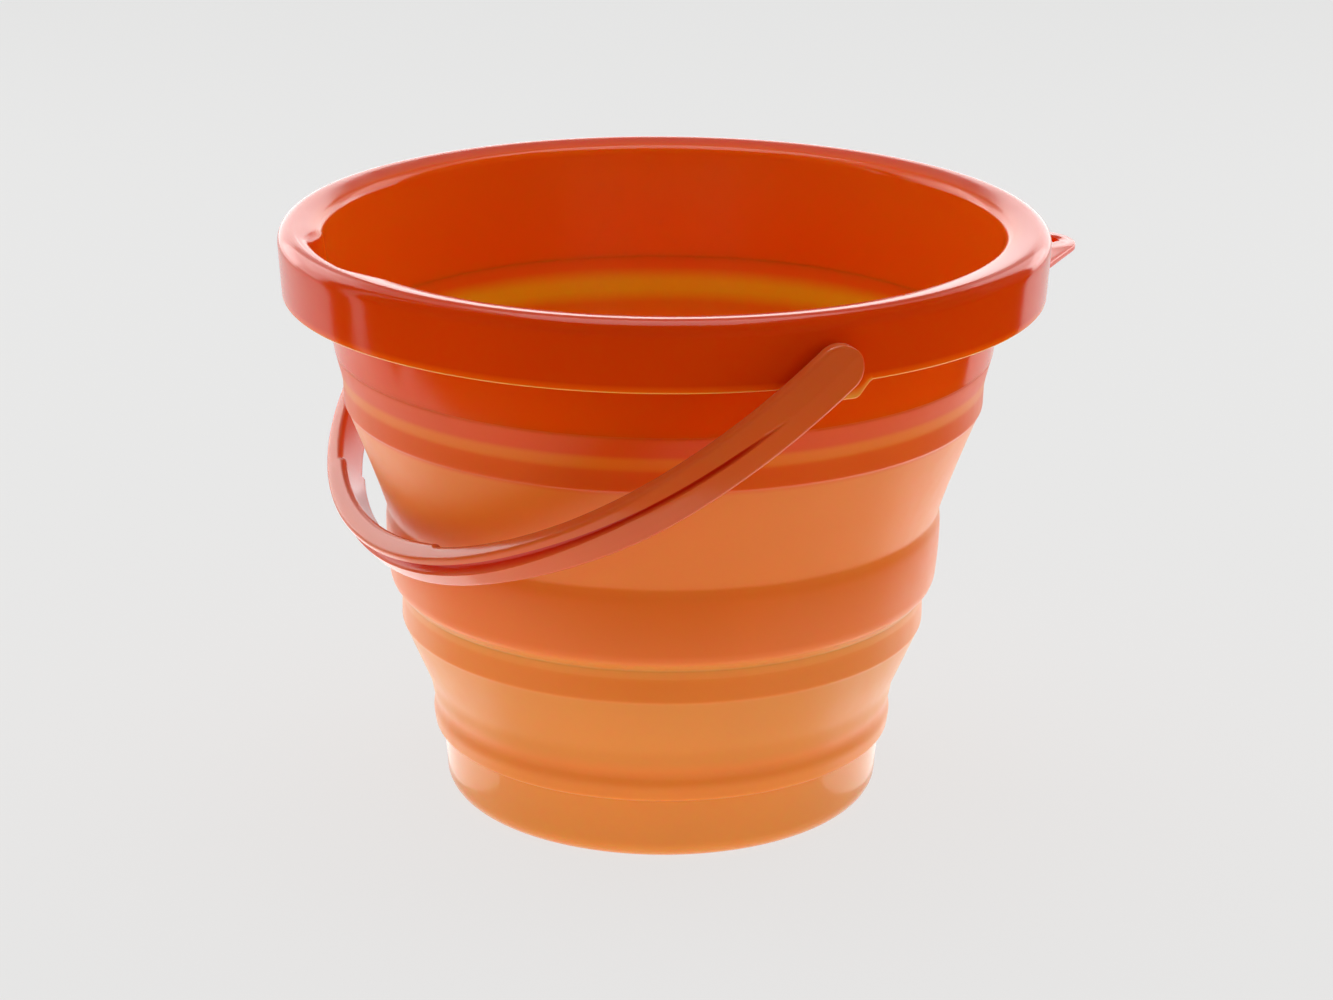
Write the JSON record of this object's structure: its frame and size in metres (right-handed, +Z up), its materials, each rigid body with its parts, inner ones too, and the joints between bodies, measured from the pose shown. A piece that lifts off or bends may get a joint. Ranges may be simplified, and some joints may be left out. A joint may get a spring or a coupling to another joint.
{
  "type": "collapsible camp bucket",
  "caption": "Folding round bucket with a hard rolled collar, pouring spout, hanging tab, soft stepped wall, hard base and swinging bail handle.",
  "frame": {"origin": "centre of the base's underside, on the ground, on the bucket's axis", "axes": "+Z up along the bucket's axis; the handle's pivot axis runs along X; the pouring spout faces -Y and the hanging tab faces +Y"},
  "size_m": [0.3446, 0.3578, 0.2525],
  "materials": {
    "hard_shell": "glossy moulded polypropylene",
    "handle": "satin moulded polypropylene",
    "soft_wall": "satin, slightly translucent soft elastomer"
  },
  "bodies": {
    "base": {"base_cup": "hard_shell", "lower_band": "soft_wall", "lower_cone": "soft_wall"},
    "middle": {"mid_band": "soft_wall", "upper_cone": "soft_wall"},
    "collar": {"rim_collar": "hard_shell", "upper_band": "soft_wall"},
    "handle": {"bail_handle": "handle"}
  },
  "joints": [
    {"name": "lower_fold", "type": "slide", "parent": "base", "child": "middle", "axis": [0, 0, -1], "range_m": [0, 0.088], "deforming": ["lower_cone"]},
    {"name": "upper_fold", "type": "slide", "parent": "middle", "child": "collar", "axis": [0, 0, -1], "range_m": [0, 0.088], "deforming": ["upper_cone"]},
    {"name": "handle_swing", "type": "hinge", "parent": "collar", "child": "handle", "pos_m": [0, 0, 0.233], "axis": [-1, 0, 0], "range_deg": [0, 216]}
  ]
}
